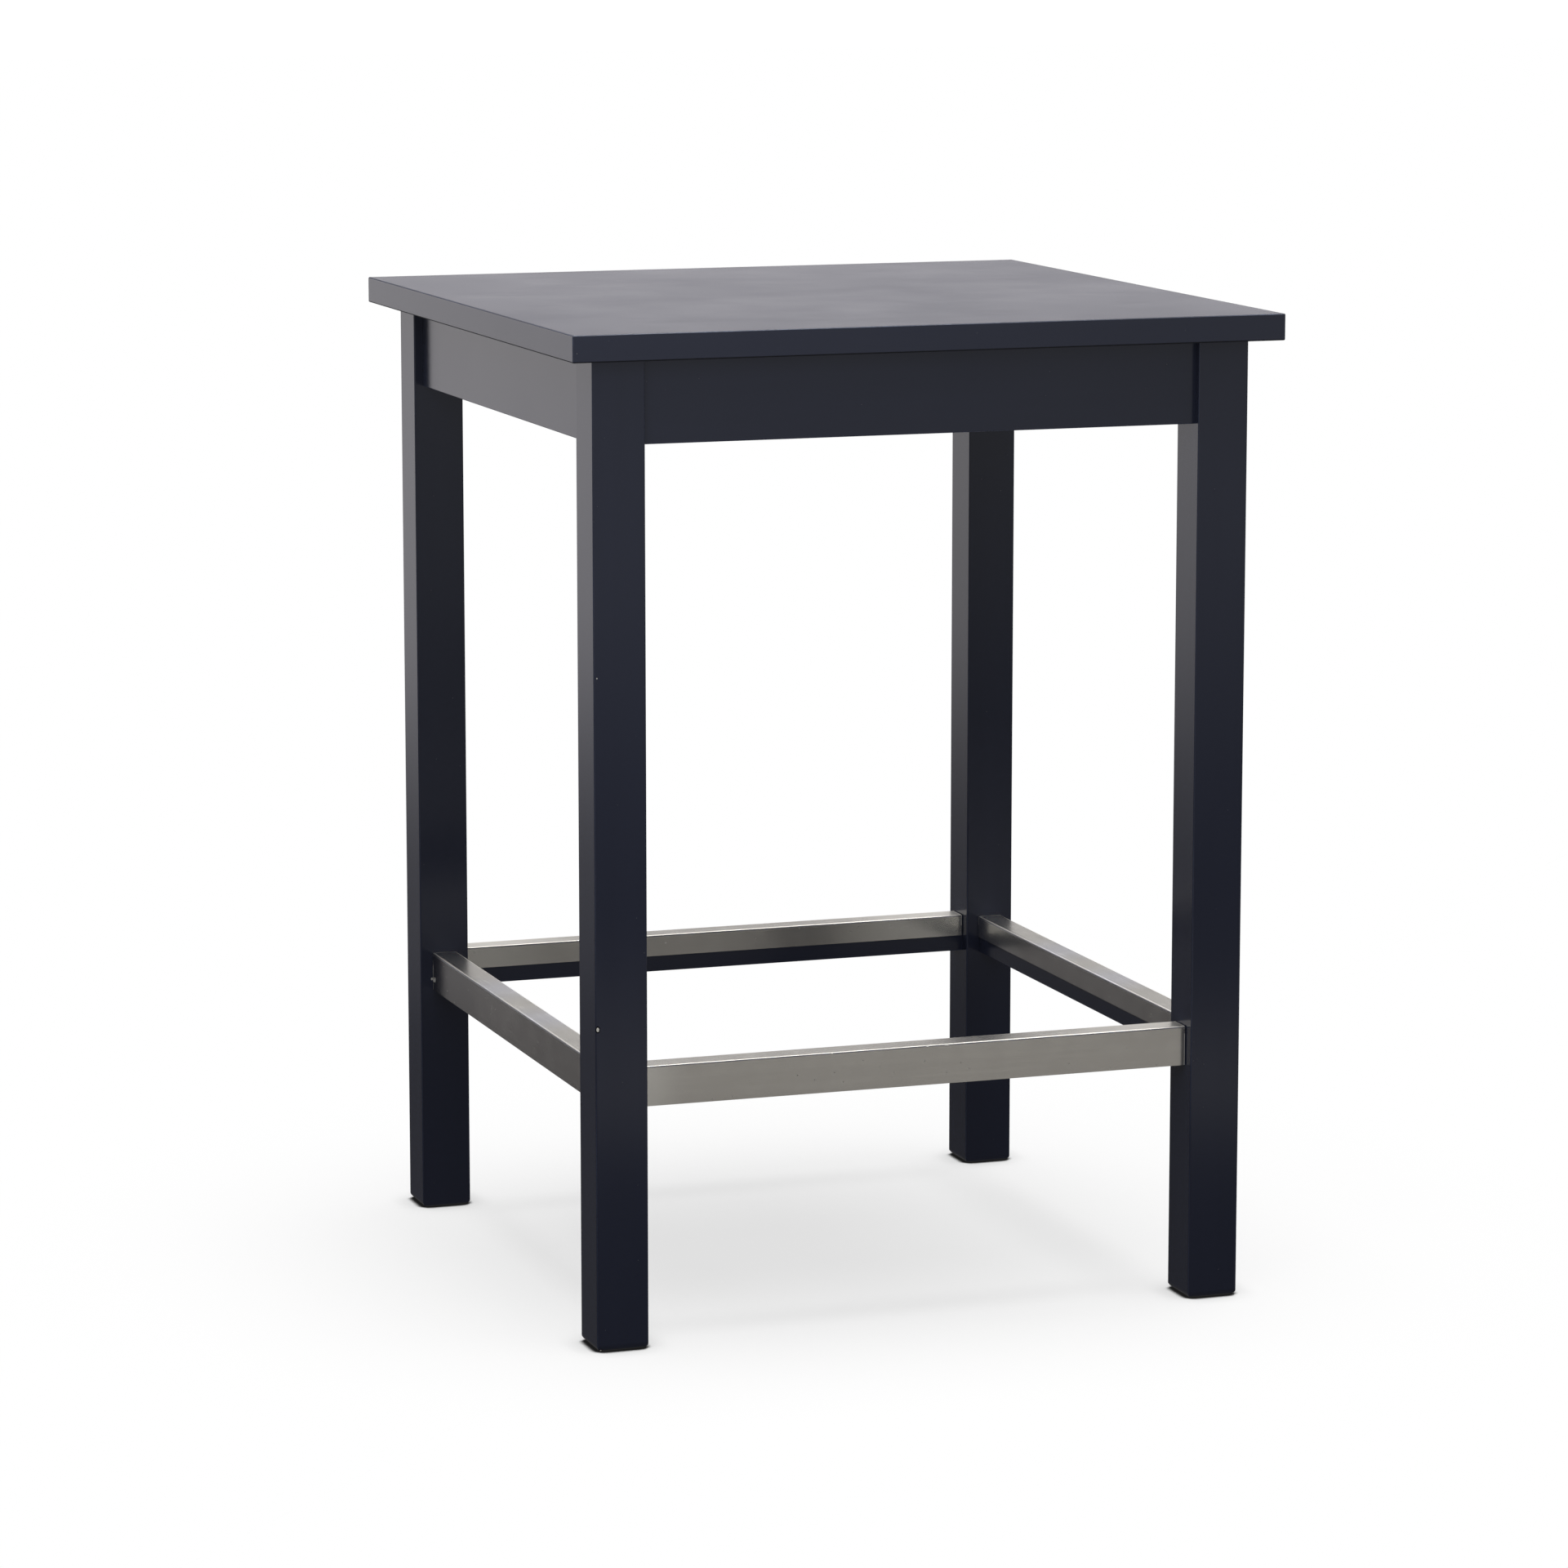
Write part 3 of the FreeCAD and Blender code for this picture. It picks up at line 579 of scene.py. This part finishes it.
def at_each_corner(points, faces):
    """Four copies of a shape, each a quarter turn round the table's middle from the last."""
    count = len(CORNERS)
    turns = [np.array([[math.cos(angle), -math.sin(angle), 0], [math.sin(angle), math.cos(angle), 0],
                       [0, 0, 1]]) for angle in np.arange(count) * math.tau / count]
    skins = [[index + number * len(points) for index in face] for number in range(count) for face in faces]
    return np.concatenate([points @ turn.T for turn in turns]), skins


# ---- sizes and colours that a user may change

def colour_field(name, description, default, **limits):
    """A colour."""
    return FloatVectorProperty(name=name, description=description, subtype="COLOR", size=3, default=default,
                               **limits)


def share_field(name, description, default):
    """A number from 0 to 1."""
    return FloatProperty(name=name, description=description, subtype="FACTOR", min=0, max=1, default=default)


def index_field(name, description, default):
    """A refractive index."""
    return FloatProperty(name=name, description=description, min=1, max=2, default=default)


def length_field(name, description, default):
    """A length, in metres."""
    return FloatProperty(name=name, description=description, unit="LENGTH", default=default)


def angle_field(name, description, degrees):
    """An angle, given in degrees."""
    return FloatProperty(name=name, description=description, subtype="ANGLE", default=math.radians(degrees))


def power_field(name, description, default):
    """A lamp's power, in watts."""
    return FloatProperty(name=name, description=description, unit="POWER", default=default)


class PaintProps(bpy.types.PropertyGroup):
    """Paint of the top, legs, aprons and rail bars."""
    colour: colour_field("Paint", "Colour of the satin paint", (0.0215, 0.0260, 0.0495))
    # The rubbed arris colour is both wear and a painted highlight along the arrises.
    rub_and_highlight_colour: colour_field("Rubbed arris", "Colour where hands rub the arrises", (0.16, 0.20, 0.32))
    dust_colour: colour_field("Dust", "Colour of dust nibs in the paint", (0.10, 0.10, 0.11))
    bare_colour: colour_field("Chip", "Colour of the wood in a chip", (0.96, 0.94, 0.88))
    roughness: share_field("Roughness", "Roughness of the satin paint", 0.19)
    gloss_index: index_field("Gloss index", "Refractive index of the paint's skin", 1.48)
    # The side aprons' higher index is a painted sheen: a copy of the paint that makes their reflection
    # brighter.
    side_apron_sheen_index: index_field("Side apron index", "The same on the side aprons", 1.56)
    end_apron_index: index_field("End apron index", "The same on the front and back aprons", 1.48)
    grain_depth: length_field("Grain depth", "Depth of the grain seen through the paint", 0.006 * MM)
    # Width of the band along an arris that is both wear and painted highlight.
    rub_and_highlight_width: length_field("Rubbed width", "Width of wear along an arris", 0.8 * MM)


class SteelProps(bpy.types.PropertyGroup):
    """Stainless covers of the foot rails."""
    colour: colour_field("Steel", "Colour of the stainless sheet", (0.70, 0.68, 0.645))
    shade_colour: colour_field("Shade", "Colour of its darker bands", (0.60, 0.58, 0.55))
    # The dim colour is a painted reflection, a dimmer stretch of a cover.
    dim_colour: colour_field("Dim", "Colour of duller stretches", (0.50, 0.49, 0.475))
    pit_colour: colour_field("Pits", "Colour of small pits", (0.16, 0.15, 0.13))
    # The fold colour is painted shade, a dark line over the lower half of a bend.
    fold_shade_colour: colour_field("Fold", "Colour of the dark lower half of a bend", (0.10, 0.10, 0.125))
    # The nick colour is also that of painted highlights and of paler painted reflections.
    nick_colour: colour_field("Nicks", "Colour of bruises and pale stretches", (0.95, 0.94, 0.90))
    roughness: share_field("Roughness", "Roughness of the brushed face", 0.24)
    smear: share_field("Smear", "How far the brushed lines smear a reflection across them", 0.5)
    tread_colour: colour_field("Tread", "Colour of the treads, paler from shoes", (0.93, 0.915, 0.82))
    # The cool tread colour is a painted highlight, on side treads and on the side covers' bends.
    tread_highlight_colour: colour_field("Cool tread", "Bluish stretches of side treads", (0.95, 0.97, 1.0))
    tread_roughness: share_field("Tread roughness", "Roughness of the scuffed treads", 0.255)
    brush_depth: length_field("Brush depth", "Depth of the brushed lines", 0.0018 * MM)


class FittingsProps(bpy.types.PropertyGroup):
    """Plated brackets, bolts and screws, and the dowels' wood."""
    cool_colour: colour_field("Cool plating", "Bluish tint of the zinc", (0.58, 0.61, 0.64))
    warm_colour: colour_field("Warm plating", "Straw tint of the zinc", (0.66, 0.63, 0.55))
    dull_colour: colour_field("Dull spots", "Colour of white rust", (0.42, 0.42, 0.41))
    roughness: share_field("Roughness", "Roughness of the plating", 0.34)
    metallic: share_field("Metallic", "Share of the plating that is clean metal", 0.7)
    light_colour: colour_field("Light wood", "Light bands of the dowels", (0.66, 0.48, 0.31))
    dark_colour: colour_field("Dark wood", "Dark bands of the dowels", (0.55, 0.37, 0.22))
    fleck_colour: colour_field("Flecks", "Flecks in the dowels", (0.34, 0.20, 0.11))
    bolt_radius: length_field("Bolt radius", "Outer radius of the hanger bolts", 4 * MM)
    pitch: length_field("Pitch", "Pitch of the machine thread", 1.25 * MM)
    thread_depth: length_field("Thread depth", "Depth of the machine thread", 0.68 * MM)
    wood_thread: length_field("Wood thread", "Length of the wood thread", 42 * MM)
    wood_pitch: length_field("Wood pitch", "Pitch of the wood thread", 3.2 * MM)
    wood_thread_depth: length_field("Wood thread depth", "Depth of the wood thread", 1.1 * MM)
    point_length: length_field("Point", "Length of the bolt's point", 6 * MM)
    bevel: length_field("Bevel", "Bevel of the bolt's end", 0.8 * MM)
    facets: IntProperty(name="Facets", description="Points round a bolt", min=12, default=32)
    rings_per_pitch: IntProperty(name="Rings", description="Rings of points in one pitch", min=4, default=8)


class StudioProps(bpy.types.PropertyGroup):
    """Floor, lamps and camera."""
    floor_colour: colour_field("Floor", "Colour of the pale floor", (0.32, 0.32, 0.32))
    floor_glow: FloatProperty(name="Floor white", description="White that the camera sees on the floor",
                              default=0.715)
    contact: length_field("Contact shadow", "Reach of the shadow round each foot", 30 * MM)
    beyond_colour: colour_field("Beyond", "Tint of wall and floor beyond the table", (1.03, 1.0, 1.03), max=2)
    near_colour: colour_field("Near", "Tint of the floor just before the table", (1.03, 1.0, 0.95), max=2)
    overhead: FloatProperty(name="Overhead lamp", description="Strength of the soft overhead light",
                            default=2.2)
    overhead_angle: angle_field("Overhead softness", "Angle that the overhead light fills", 34)
    near_lamp: power_field("Near lamp", "Power of the soft lamp by the front left corner", 3.7)
    side_lamp: power_field("Side lamp", "Power of the soft lamp further to the left", 2.2)
    camera_place: FloatVectorProperty(name="Camera", description="Place of the camera",
                                      subtype="XYZ", size=3, default=(-2.0047, -5.6542, 1.5171))
    heading: angle_field("Heading", "Camera's turn to the right of straight ahead", 19.2661)
    pitch: angle_field("Pitch", "Camera's tilt below the level", 9.6092)
    lens: FloatProperty(name="Lens", description="Focal length of the camera in millimetres",
                        unit="CAMERA", default=131.825)


# ---- pieces

class PaintTabletop(bpy.types.Operator):
    """Paint the tabletop"""
    bl_idname = "pub_table.paint_tabletop"
    bl_label = "Paint tabletop"

    def execute(self, context):
        low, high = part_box("tabletop")
        paint = context.scene.pub_table_paint
        dress(["tabletop"],
              painted_wood("tabletop_paint", paint, ALONG_X, (low + high) / 2, (high - low) / 2,
                           paint.gloss_index, rub_and_highlight_share=1.0, chips=TOP_CHIPS, underside=low[ALONG_Z]))
        return {"FINISHED"}


class PaintLegs(bpy.types.Operator):
    """Paint the four legs, with a few chips on the two left ones"""
    bl_idname = "pub_table.paint_legs"
    bl_label = "Paint legs"

    def execute(self, context):
        low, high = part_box("leg_back_right")
        paint = context.scene.pub_table_paint
        dress([f"leg_{corner}" for corner in CORNERS],
              painted_wood("leg_paint", paint, ALONG_Z, (low + high) / 2, (high - low) / 2,
                           paint.gloss_index, rub_and_highlight_share=0.4, chips=LEG_CHIPS))
        return {"FINISHED"}


class PaintAprons(bpy.types.Operator):
    """Paint the four aprons"""
    bl_idname = "pub_table.paint_aprons"
    bl_label = "Paint aprons"

    def execute(self, context):
        paint = context.scene.pub_table_paint
        # The side aprons get the glossier copy of the paint, a painted sheen.
        paint_bars(paint, "apron", "apron_paint", (paint.end_apron_index, paint.side_apron_sheen_index))
        return {"FINISHED"}


class PaintRailBars(bpy.types.Operator):
    """Paint the wooden bars of the foot rails"""
    bl_idname = "pub_table.paint_rail_bars"
    bl_label = "Paint foot rail bars"

    def execute(self, context):
        paint = context.scene.pub_table_paint
        paint_bars(paint, "foot_rail_core", "rail_bar_paint", (paint.gloss_index, paint.gloss_index))
        return {"FINISHED"}


class BrushSteelCovers(bpy.types.Operator):
    """Brush the stainless covers of the foot rails along their length"""
    bl_idname = "pub_table.brush_steel_covers"
    bl_label = "Brush steel covers"

    def execute(self, context):
        steel = context.scene.pub_table_steel
        for axis, sides, nicks_and_glints, painted_reflections in ((ALONG_X, ("back", "front"), FRONT_NICKS, END_PAINTED_REFLECTIONS),
                                              (ALONG_Y, ("right", "left"), LEFT_BURRS_AND_GLINT, SIDE_PAINTED_REFLECTIONS)):
            low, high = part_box(f"foot_rail_cover_{sides[0]}")
            dress([f"foot_rail_cover_{side}" for side in sides],
                  brushed_steel(f"brushed_steel_{'xy'[axis]}", steel, axis,
                                (low + high) / 2, (high - low) / 2, nicks_and_glints, painted_reflections))
        return {"FINISHED"}


class PlateFittings(bpy.types.Operator):
    """Plate the corner brackets, angle plates, washers, nuts and screws"""
    bl_idname = "pub_table.plate_fittings"
    bl_label = "Plate brackets and screws"

    def execute(self, context):
        fittings = context.scene.pub_table_fittings
        dress([f"corner_bracket_{corner}" for corner in CORNERS], zinc_plate("bracket_plating", fittings))
        dress(["top_angle_plates"], zinc_plate("angle_plate_plating", fittings))
        dress(["hanger_bolt_washers", "hanger_bolt_nuts", "corner_bracket_screws", "apron_plate_screws",
               "tabletop_screws"], zinc_plate("screw_plating", fittings))
        return {"FINISHED"}


class TurnDowels(bpy.types.Operator):
    """Give the apron dowels their bare wood"""
    bl_idname = "pub_table.turn_dowels"
    bl_label = "Bare wood dowels"

    def execute(self, context):
        dress(["apron_dowels"], bare_beech("dowel_wood", context.scene.pub_table_fittings))
        return {"FINISHED"}


class ThreadBolts(bpy.types.Operator):
    """Make the four hanger bolts with their wood and machine threads"""
    bl_idname = "pub_table.thread_bolts"
    bl_label = "Thread hanger bolts"

    def execute(self, context):
        fittings = context.scene.pub_table_fittings
        vertices = NODES["hanger_bolts"].data.vertices
        packed = np.empty(len(vertices) * 3, np.float32)
        vertices.foreach_get("co", packed)
        packed = packed.reshape(-1, 3).astype(float)
        corner = packed[(packed[:, ALONG_X] > 0) & (packed[:, ALONG_Y] > 0)]
        outwards, sideways = np.array([[1, 1, 0], [-1, 1, 0]]) / math.sqrt(2)
        upright = np.array([0, 0, 1])
        level = (corner[:, ALONG_Z].min() + corner[:, ALONG_Z].max()) / 2
        reach = corner @ outwards
        tip, head = reach.max(), reach.min()
        points, faces = capped(threaded_rod(0.0, tip - head, fittings))
        bolt = (points[:, :1] * upright + points[:, 1:2] * sideways
                + (tip - points[:, 2:]) * outwards + level * upright)
        made = new_mesh("threaded_hanger_bolts", *at_each_corner(bolt, faces))
        made.data.materials.append(zinc_plate("bolt_plating", fittings))
        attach(made, "root")
        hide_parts("hanger_bolts")
        return {"FINISHED"}


class BuildStudio(bpy.types.Operator):
    """Set up the pale floor, soft lamps and camera"""
    bl_idname = "pub_table.build_studio"
    bl_label = "Build studio"

    def execute(self, context):
        scene = context.scene
        studio = scene.pub_table_studio
        scene.view_settings.view_transform = "Standard"
        build_floor(studio)
        build_world(scene, studio)
        build_lamps(scene, studio)
        build_camera(scene, studio)
        return {"FINISHED"}


# ---- studio

# A pair holds where a soft step starts and where it is full. Lists of steps have the change each one
# makes as a third number. Places are in metres, and heights of walls are sines of their elevation.
FLOOR_REACH = 30.0                             # half side of the floor
FLOOR_WHITENS = (0.2, 0.95)                    # metres from the table's middle
FOOT_REACH = 0.45                              # share of the contact shadow's reach
FOOT_LEAN = (0.40, 0.68, 0.62)                 # direction that the floor beside a foot looks in
FOOT_SHADOW = (0.52, 0.78)
CONTACT_LEFT, FOOT_LEFT = 0.55, 0.02           # shares of the white that the wide and narrow shadows leave
POOL_SLANT = 0.35                              # a bright pool before the table lies slantwise
POOL_FAR, POOL_NEAR = (-1.12, -1.5), (-2.15, -1.55)
POOL_GLOW, POOL_STEPS = 0.62, ((0.1, 0.9, -0.12),)
SHEEN, SHEEN_STEPS = 0.08, ((1.0, 1.9, 0.08), (2.0, 5.0, 0.53), (5.0, 7.0, 0.12), (-2.8, -6.0, 0.41))
NEAR_FADES, BEYOND_STARTS = (-2.0, -4.5), (-1.0, 2.0)
SOFT_FLOOR, SOFT_WALLS = 0.20, 0.06            # what matt surfaces get from floor and walls
WALLS_BEYOND, BEYOND_STEPS = 0.055, ((0.145, 0.03, 1.28), (0.17, 0.43, 0.98))
WALLS_BEFORE, BEFORE_STEPS = 0.35, ((0.06, 0.16, -0.25), (0.34, 0.62, 1.60))
WALLS_TURN = (-0.35, 0.35)
OVERHEAD_PLACE = (0.28, -0.02, 4.0)
LAMP_SIZE = (1.2, 0.8)
LAMPS = {"near_lamp": ((-0.5, -1.35, 1.2), (-0.1, -0.3, 0.75)),
         "side_lamp": ((-1.4, -1.8, 1.1), (0.0, 0.0, 0.8))}


def seen_floor(finish, place, studio):
    """The floor to the camera: white, with the table's shadow, and darker close round its feet."""
    far = finish.length(place).ramp(*FLOOR_WHITENS)
    open_air = finish.node("AmbientOcclusion", {"samples": 8}, {"Distance": studio.contact}, "AO")
    beside_foot = finish.node("AmbientOcclusion", {"samples": 16},
                              {"Distance": studio.contact * FOOT_REACH, "Normal": FOOT_LEAN}, "AO")
    lit = beside_foot.ramp(*FOOT_SHADOW)
    colour = finish.mixed(lit * (1 - far), opaque(BLACK), opaque(studio.floor_colour))
    glow = far.between(studio.floor_glow, 1) * open_air.between(CONTACT_LEFT, 1) * lit.between(FOOT_LEFT, 1)
    shadow = finish.node("BsdfDiffuse", values={"Color": colour})
    white = finish.node("Emission", values={"Color": opaque(WHITE), "Strength": glow})
    return finish.node("AddShader", values={0: shadow, 1: white})


def reflected_floor(finish, place, studio):
    """The floor in steel and paint: dim near the table, bright far off, with a slanting pool before it."""
    across, depth, _ = finish.split(place)
    slant = depth - across * POOL_SLANT
    pool = slant.ramp(*POOL_FAR) * slant.ramp(*POOL_NEAR) * across.stepped(POOL_GLOW, POOL_STEPS)
    sheen = depth.stepped(SHEEN, SHEEN_STEPS) + pool
    near = finish.mixed(depth.ramp(*NEAR_FADES), opaque(studio.near_colour), opaque(WHITE))
    tint = finish.mixed(depth.ramp(*BEYOND_STARTS), near, opaque(studio.beyond_colour))
    soft = finish.node("LightPath", output="Is Diffuse Ray")
    return finish.node("Emission", values={"Color": tint, "Strength": soft.between(sheen, SOFT_FLOOR)})


def build_floor(studio):
    """A square floor of one face, which is clear when it is seen from below."""
    corners = np.array([[-1, -1, 0], [1, -1, 0], [1, 1, 0], [-1, 1, 0]]) * FLOOR_REACH
    floor = new_mesh("studio_floor", corners, [[0, 1, 2, 3]])
    finish = new_finish("studio_floor_paint")
    place = finish.place()
    seen = finish.node("LightPath", output="Is Camera Ray")
    below = finish.node("NewGeometry", output="Backfacing")
    both = finish.node("MixShader", values={0: seen, 1: reflected_floor(finish, place, studio),
                                            2: seen_floor(finish, place, studio)})
    clear = finish.node("BsdfTransparent")
    finish.end(finish.node("MixShader", values={0: below * seen, 1: both, 2: clear}))
    floor.data.materials.append(finish.owner)


def build_world(scene, studio):
    """Walls, white to the camera.

    In reflections, those beyond the table are bright low down and high up, and those on the camera's
    side are dim, darkest a little above the floor, with a bright ceiling."""
    world = bpy.data.worlds.new("studio_walls")
    scene.world = world
    finish = Finish(world)
    _, depth, height = finish.split(finish.node("TexCoord", output="Generated"))
    seen = finish.node("LightPath", output="Is Camera Ray")
    soft = finish.node("LightPath", output="Is Diffuse Ray")
    beyond = depth.ramp(*WALLS_TURN)
    walls = beyond.between(height.stepped(WALLS_BEFORE, BEFORE_STEPS),
                           height.stepped(WALLS_BEYOND, BEYOND_STEPS))
    tint = finish.mixed(beyond * (1 - seen), opaque(WHITE), opaque(studio.beyond_colour))
    strength = soft.between(walls, SOFT_WALLS).most(seen)
    finish.end(finish.node("Background", values={"Color": tint, "Strength": strength}), "OutputWorld")


def build_lamps(scene, studio):
    """A wide overhead light and two soft lamps near the front left corner."""
    overhead = bpy.data.lights.new("overhead_light", "SUN")
    overhead.energy = studio.overhead
    overhead.angle = studio.overhead_angle
    add_lamp(scene, overhead, OVERHEAD_PLACE, (0.0, 0.0, 0.0))
    for name, (place, target) in LAMPS.items():
        light = bpy.data.lights.new(name, "AREA")
        light.energy = getattr(studio, name)
        light.shape = "RECTANGLE"
        light.size, light.size_y = LAMP_SIZE
        add_lamp(scene, light, place, target).visible_glossy = False


def add_lamp(scene, light, place, target):
    """Hangs a lamp at a place, aimed at a target."""
    lamp = bpy.data.objects.new(light.name, light)
    lamp.location = place
    lamp.rotation_euler = (Vector(target) - Vector(place)).to_track_quat("-Z", "Y").to_euler()
    scene.collection.objects.link(lamp)
    return lamp


def build_camera(scene, studio):
    """The camera, level from side to side."""
    data = bpy.data.cameras.new("camera")
    data.lens = studio.lens
    camera = bpy.data.objects.new("camera", data)
    camera.location = studio.camera_place
    camera.rotation_euler = (math.pi / 2 - studio.pitch, 0, -studio.heading)
    scene.collection.objects.link(camera)
    scene.camera = camera


# ---- add-on

OPERATORS = (PaintTabletop, PaintLegs, PaintAprons, PaintRailBars, BrushSteelCovers, PlateFittings,
             TurnDowels, ThreadBolts, BuildStudio)
GROUPS = {"pub_table_paint": PaintProps, "pub_table_steel": SteelProps,
          "pub_table_fittings": FittingsProps, "pub_table_studio": StudioProps}


class PubTablePanel(bpy.types.Panel):
    """The table's pieces, each with its button, and their sizes and colours"""
    bl_idname = "VIEW3D_PT_pub_table"
    bl_label = "Pub table"
    bl_space_type = "VIEW_3D"
    bl_region_type = "UI"
    bl_category = "Pub table"

    def draw(self, context):
        for operator in OPERATORS:
            self.layout.operator(operator.bl_idname)
        for name, group in GROUPS.items():
            box = self.layout.box()
            for field in group.__annotations__:
                box.prop(getattr(context.scene, name), field)


def register():
    for group in (*GROUPS.values(), *OPERATORS, PubTablePanel):
        bpy.utils.register_class(group)
    for name, group in GROUPS.items():
        setattr(bpy.types.Scene, name, PointerProperty(type=group))


def unregister():
    for name in GROUPS:
        delattr(bpy.types.Scene, name)
    for group in reversed((*GROUPS.values(), *OPERATORS, PubTablePanel)):
        bpy.utils.unregister_class(group)


def main():
    register()
    for operator in OPERATORS:
        group, action = operator.bl_idname.split(".")
        getattr(getattr(bpy.ops, group), action)()


if __name__ == "__main__":
    main()
